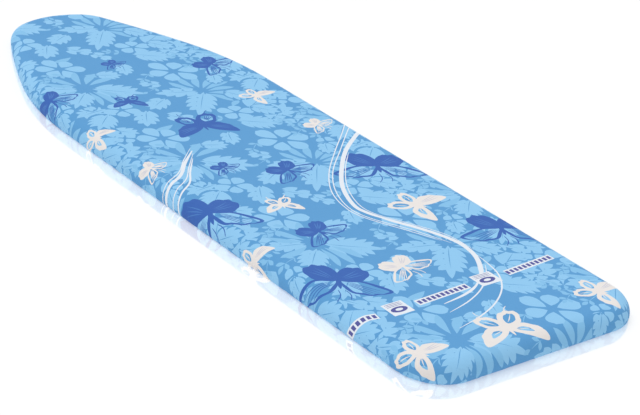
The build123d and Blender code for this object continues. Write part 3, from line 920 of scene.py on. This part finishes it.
# Kind, ink, place, scale and turn in degrees.
PRINTED_BUTTERFLIES = (
    ("settled", "navy", (-302, 127), 1.0, 10),
    ("settled", "navy", (-367, -18), 0.55, 0),
    ("dusky", "navy", (-230, -75), 0.56, -8),
    ("settled", "navy", (-287, -177), 1.0, 0),
    ("dusky", "navy", (-112, -22), 1.0, 0),
    ("settled", "navy", (22, -80), 0.6, 0),
    ("settled", "navy", (69, -1), 1.0, 0),
    ("settled", "navy", (115, 127), 1.6, -47),
    ("settled", "navy", (242, -80), 1.0, 0),
    ("settled", "navy", (128, -178), 1.6, -47),
    ("settled", "navy", (348, 155), 1.5, -45),
    ("settled", "navy", (362, -142), 1.55, -52),
    ("angel", "cream", (-168, 118), 0.66, 0),
    ("angel", "cream", (-150, -184), 0.62, 0),
    ("settled", "cream", (-40, 137), 0.7, 10),
    ("settled", "cream", (-22, -174), 0.66, 12),
    ("swallow", "cream", (155, -76), 0.58, -4),
    ("angel", "cream", (240, 95), 1.0, 0),
    ("angel", "cream", (248, -200), 0.7, -8),
    ("settled", "cream", (371, -42), 1.0, -4),
    ("angel", "cream", (545, 146), 0.85, 4),
    ("swallow", "cream", (558, -29), 1.0, 0),
    ("angel", "cream", (552, -169), 0.82, -4),
)

# ---------------------------------------------------------------- sweeping lines and plain label strips


def ribbon(points, width, taper=0.0):
    """Band of even width along a smooth line, tapered at its ends."""
    line = smooth_loop(points, closed=False)
    heading = np.gradient(line, axis=0)
    heading /= np.hypot(heading[:, 0], heading[:, 1])[:, None]
    across = np.column_stack([-heading[:, 1], heading[:, 0]])
    share = np.linspace(0, 1, len(line))
    half = width / 2 * np.minimum(1, 0.25 + np.minimum(share, 1 - share) / max(taper, 1e-6))
    return np.vstack([line + across * half[:, None], (line - across * half[:, None])[::-1]])


# Points along each line, width, and the share of it that tapers.
SWEEPS = (
    (((-36, 228), (0, 190), (50, 122), (100, 73), (150, 35), (200, 14), (228, 16), (262, 31)), 6.5, 0.1),
    (((228, 16), (262, 31), (300, 52), (340, 68), (370, 71), (400, 63), (432, 42), (452, 20)), 7.0, 0.2),
    (((440, 34), (458, 8), (468, -20), (474, -60)), 4.0, 0.5),
    (
        ((-44, 214), (0, 164), (50, 110), (100, 57), (150, 21), (200, 3), (240, 8), (300, 40), (352, 62)),
        1.6,
        0.1,
    ),
    (
        ((-50, 204), (0, 154), (50, 100), (100, 50), (150, 14), (196, -1), (236, 2), (300, 34), (340, 54)),
        1.6,
        0.1,
    ),
    (((60, 118), (100, 80), (150, 43), (200, 22), (236, 24), (280, 48), (330, 72), (380, 76)), 1.4, 0.1),
    (((388, 70), (420, 66), (450, 57), (480, 34), (504, 0), (520, -40), (530, -84)), 2.2, 0.3),
    (((420, 60), (444, 40), (468, 8), (484, -28), (494, -68)), 2.0, 0.3),
    (((-44, -88), (-15, -120), (20, -154), (45, -205), (56, -240)), 5.0, 0.3),
    (((-22, -102), (12, -130), (46, -156), (76, -206), (90, -240)), 2.8, 0.3),
    (((-36, -92), (0, -124), (34, -154), (62, -204), (74, -240)), 1.6, 0.3),
    (((-52, -86), (-22, -118), (12, -152), (36, -204), (44, -240)), 1.6, 0.3),
)
DASH = 5.2
DASH_STEP = 8.0
DASH_START = 0.3  # share of a step before each dash
DASH_WIDTH = 0.6  # share of the strip's width


def bar(start, end, width):
    """Straight strip from start to end."""
    start = np.array(start, float)
    way = np.array(end, float) - start
    across = np.array((-way[1], way[0])) / hypot(*way) * width / 2
    return np.array([start - across, start + way - across, start + way + across, start + across])


def dashed_strip(points, width):
    """Plain woven-look strip: white, with a row of short blue dashes and no lettering."""
    outlines = []
    for start, end in zip(points, points[1:]):
        start = np.array(start, float)
        way = np.array(end, float) - start
        length = hypot(*way)
        ahead = way / length
        outlines.append(("white", bar(start, start + way, width)))
        for dash in range(int(length / DASH_STEP)):
            root = start + ahead * (dash + DASH_START) * DASH_STEP
            outlines.append(("trim", bar(root, root + ahead * DASH, width * DASH_WIDTH)))
    return outlines


STRIP_WIDTH = 13
OVAL = (6.5, 13.0)
OVAL_CORE = 0.45
BADGE_LINES = 3
BADGE_LINE_WIDTH = 0.9


def plain_badge(low, high):
    """White panel with a blue ring and fine lines, standing for a woven badge."""
    (left, bottom), (right, top) = low, high
    middle = np.array(((left + right) / 2, (bottom + top) / 2))
    outlines = [("white", bar((left, middle[1]), (right, middle[1]), top - bottom))]
    oval = [
        middle + np.array((3 + OVAL[0] * cos(angle), OVAL[1] * sin(angle)))
        for angle in np.linspace(0, 2 * pi, 17)[:-1]
    ]
    outlines.append(("trim", np.array(oval)))
    core = [middle + (point - middle) * OVAL_CORE + np.array((1.6, 0)) for point in oval]
    outlines.append(("white", np.array(core)))
    for line in range(BADGE_LINES):
        x = left + 2.5 + 3.0 * line
        outlines.append(("trim", bar((x, bottom + 4), (x, top - 4), BADGE_LINE_WIDTH)))
    return outlines


def labels():
    """The row of strips and badges across the board near the heel."""
    outlines = []
    outlines += dashed_strip(((444, 158), (450, 70)), STRIP_WIDTH)
    outlines += dashed_strip(((452, 0), (456, -90)), STRIP_WIDTH)
    outlines += dashed_strip(((458, -156), (449, -206)), STRIP_WIDTH)
    outlines += plain_badge((435, 17), (463, 52))
    outlines += plain_badge((440, -137), (469, -104))
    return outlines


# ---------------------------------------------------------------- the printed cover


def printed_shapes():
    """Every printed outline in the order it is laid down: its ink, its motif's number, its points."""
    motifs = [[shape] for shape in leaf_pattern()]
    motifs += [butterfly(*facts) for facts in PRINTED_BUTTERFLIES if facts[1] == "navy"]
    motifs += [[("white", ribbon(points, width, taper))] for points, width, taper in SWEEPS]
    motifs += [butterfly(*facts) for facts in PRINTED_BUTTERFLIES if facts[1] == "cream"]
    motifs += [labels()]
    return [(ink, number, outline) for number, motif in enumerate(motifs) for ink, outline in motif]


def top_ink(over, shapes):
    """The ink that shows where these shapes lie over each other."""
    ink = "ground"
    beneath = {}
    for index in sorted(over):
        own_ink, motif, _ = shapes[index]
        beneath.setdefault(motif, ink)
        ink = own_ink or beneath[motif]
    return ink


COVER_SPACING = 9.0
ROUNDING_RINGS = 11
TURN_RINGS = 5
HEM_RINGS = 7


def cover_sheet():
    """The cotton cover, cut flat with its print and wrapped over the board, its border and flat area."""
    ring_steps = list(np.linspace(0, QUARTER, ROUNDING_RINGS))
    ring_steps += list(np.linspace(SIDE_END, TURN_END, TURN_RINGS))
    ring_steps += list(np.linspace(TURN_END, HEM_END, HEM_RINGS)[1:-1])
    border, points = spread_points(HEM_END, ring_steps, COVER_SPACING)
    shapes = printed_shapes()
    flat, triangles, over = cut_sheet(border, points, [outline for _, _, outline in shapes])
    names = list(INKS)
    inks = [names.index(top_ink(shown, shapes)) for shown in over]
    piece = make_mesh("cover_sheet", wrap(flat), triangles, list(INKS.values()), inks)
    cut_area = abs(signed_area(border)) * MM * MM
    return piece, border, cut_area


# ---------------------------------------------------------------- padding


PAD_SPACING = 14.0
PAD_RINGS = 8


def pad(name, inset, thickness, finish):
    """Soft layer over the top and the sides, as a closed mesh: outside, inside and lower rim."""
    ring_steps = list(np.linspace(0, QUARTER, PAD_RINGS))
    border, points = spread_points(SIDE_END, ring_steps, PAD_SPACING)
    flat, triangles, _ = cut_sheet(border, points, [])
    outside = wrap(flat, inset)
    inside = wrap(flat, inset + thickness)
    count = len(flat)
    edges = dict.fromkeys(edge for a, b, c in triangles for edge in ((a, b), (b, c), (c, a)))
    rim = [edge for edge in edges if edge[::-1] not in edges]
    faces = [tuple(t) for t in triangles]
    faces += [(c + count, b + count, a + count) for a, b, c in triangles]
    faces += [(b, a, a + count, b + count) for a, b in rim]
    return make_mesh(name, np.vstack([outside, inside]), faces, [finish])


# ---------------------------------------------------------------- hem, elastic and spring


def tube(name, centres, radii, sides, finish, closed=True):
    """Round tube along a line of points in millimetres, with a radius for each point."""
    centres = np.asarray(centres, float)
    count = len(centres)
    if closed:
        heading = np.roll(centres, -1, axis=0) - np.roll(centres, 1, axis=0)
    else:
        heading = np.gradient(centres, axis=0)
    heading /= np.linalg.norm(heading, axis=1)[:, None]
    side = np.cross(heading, (0.0, 0.0, 1.0))
    side /= np.linalg.norm(side, axis=1)[:, None]
    top = np.cross(side, heading)
    angles = 2 * pi * np.arange(sides) / sides
    ring = side[:, None] * np.cos(angles)[None, :, None] + top[:, None] * np.sin(angles)[None, :, None]
    positions = centres[:, None] + ring * np.asarray(radii)[:, None, None]
    faces = []
    for i in range(count if closed else count - 1):
        following = (i + 1) % count
        for j in range(sides):
            k = (j + 1) % sides
            faces.append((i * sides + j, i * sides + k, following * sides + k, following * sides + j))
    if not closed:
        faces.append(tuple(range(sides))[::-1])
        faces.append(tuple((count - 1) * sides + j for j in range(sides)))
    return make_mesh(name, positions.reshape(-1, 3), faces, [finish])


HEM_STEP = 3.0
TAPE_RADIUS = 2.15
TAPE_FOLDS = 0.3
BRAID_RADIUS = 1.05
BRAID_RELIEF = 0.12


def hem_line():
    """Middle line of the hem tape: along the cut edge, which ends just inside the tape."""
    return wrap(edge_ring(HEM_END + BINDING_RADIUS / 2, HEM_STEP))


def hem_binding():
    """Folded tape round the hem, gathered a little by the elastic inside it."""
    line = hem_line()
    way = np.arange(len(line))
    radii = TAPE_RADIUS + TAPE_FOLDS * np.sin(way * 1.1) * np.sin(way * 0.13)
    return tube("hem_tape_fold", line, radii, 10, FINISHES["hem_tape"])


def elastic():
    """Braided elastic inside the hem tape."""
    line = hem_line()
    radii = BRAID_RADIUS + BRAID_RELIEF * np.sin(np.arange(len(line)) * 2.1)
    return tube("elastic_braid", line, radii, 8, FINISHES["elastic"])


SPRING_TURNS = 9
SPRING_WIRE = 0.4  # its radius
STEPS_IN_TURN = 24


def return_spring():
    """Even coil between the nose guide and the collar, and where it starts and its middle, in metres."""
    low, high = (np.array(corner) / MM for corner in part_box("return_spring"))
    axis = (low + high) / 2
    radius = (high[2] - low[2]) / 2 - SPRING_WIRE
    steps = SPRING_TURNS * STEPS_IN_TURN
    points = []
    for step in range(steps + 1):
        share = step / steps
        x = low[0] + SPRING_WIRE + (high[0] - low[0] - 2 * SPRING_WIRE) * share
        angle = 2 * pi * SPRING_TURNS * share
        points.append((x, axis[1] + radius * cos(angle), axis[2] + radius * sin(angle)))
    radii = [SPRING_WIRE] * len(points)
    piece = tube("spring_coil", points, radii, 8, FINISHES["spring_steel"], closed=False)
    return piece, low[0] * MM, axis * MM


# ---------------------------------------------------------------- put the soft pieces on the frame

cover, cover_border, cover_area = cover_sheet()
foam = pad("foam_layer", COVER, FOAM, FINISHES["foam"])
felt = pad("felt_layer", COVER + FOAM, FELT, FINISHES["felt"])
hem = hem_binding()
braid = elastic()
spring, spring_start, spring_axis = return_spring()

for piece, node, slot in (
    (cover, "printed_cover", "cover_cotton"),
    (foam, "foam_pad", "foam"),
    (felt, "felt_pad", "felt"),
    (hem, "hem_binding", "hem_tape"),
    (braid, "elastic_cord", "elastic"),
    (spring, "return_spring", "spring_steel"),
):
    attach(piece, "board")
    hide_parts(node)

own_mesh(spring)

# ---------------------------------------------------------------- floor and light


WHITE = (1.0, 1.0, 1.0, 1.0)
FLOOR_REACH = 12.0  # metres
FLOOR_GAP = 0.2
FLOOR_GREY = (0.78, 0.78, 0.78, 1.0)
FLOOR_GLOW = 0.34


def add_floor():
    """Wide white floor, lit a little from within, with a faint reflection."""
    mesh = bpy.data.meshes.new("floor")
    reach = FLOOR_REACH
    corners = [(-reach, -reach, 0), (reach, -reach, 0), (reach, reach, 0), (-reach, reach, 0)]
    mesh.from_pydata(corners, [], [(0, 1, 2, 3)])
    floor = bpy.data.objects.new("floor", mesh)
    floor.location.z = CAD_BOX[0][2] - FLOOR_GAP * MM
    bpy.context.scene.collection.objects.link(floor)
    finish = Finish("floor_white", FLOOR_GREY, 0.04, metallic=0.5)
    finish.shader.inputs["Emission Color"].default_value = WHITE
    finish.shader.inputs["Emission Strength"].default_value = FLOOR_GLOW
    mesh.materials.append(finish.material)


def add_sun(strength, direction, softness):
    """Broad even light from above; direction points from the board towards it."""
    data = bpy.data.lights.new("overhead", "SUN")
    data.energy = strength
    data.angle = softness
    light = bpy.data.objects.new("overhead", data)
    light.rotation_euler = Vector(direction).to_track_quat("Z", "Y").to_euler()
    bpy.context.scene.collection.objects.link(light)


FADE_START = 0.1  # heights of a view direction between which the horizon's light fades
FADE_END = 0.35


def add_world(overhead, horizon):
    """White studio, with one strength overhead and another behind the horizon."""
    world = bpy.data.worlds.new("studio")
    world.use_nodes = True
    nodes, links = world.node_tree.nodes, world.node_tree.links
    direction = nodes.new("ShaderNodeTexCoord").outputs["Generated"]
    height = nodes.new("ShaderNodeSeparateXYZ")
    links.new(direction, height.inputs["Vector"])
    fade = nodes.new("ShaderNodeMapRange")
    fade.interpolation_type = "SMOOTHSTEP"
    limits = {"From Min": FADE_START, "From Max": FADE_END, "To Min": horizon, "To Max": overhead}
    for name, value in limits.items():
        fade.inputs[name].default_value = value
    links.new(height.outputs["Z"], fade.inputs["Value"])
    links.new(fade.outputs["Result"], nodes["Background"].inputs["Strength"])
    nodes["Background"].inputs["Color"].default_value = WHITE
    bpy.context.scene.world = world


add_floor()
add_world(overhead=0.7, horizon=1.0)
add_sun(strength=1.15, direction=(-0.4, -0.1, 1.0), softness=radians(40))
bpy.context.scene.view_settings.view_transform = "Standard"
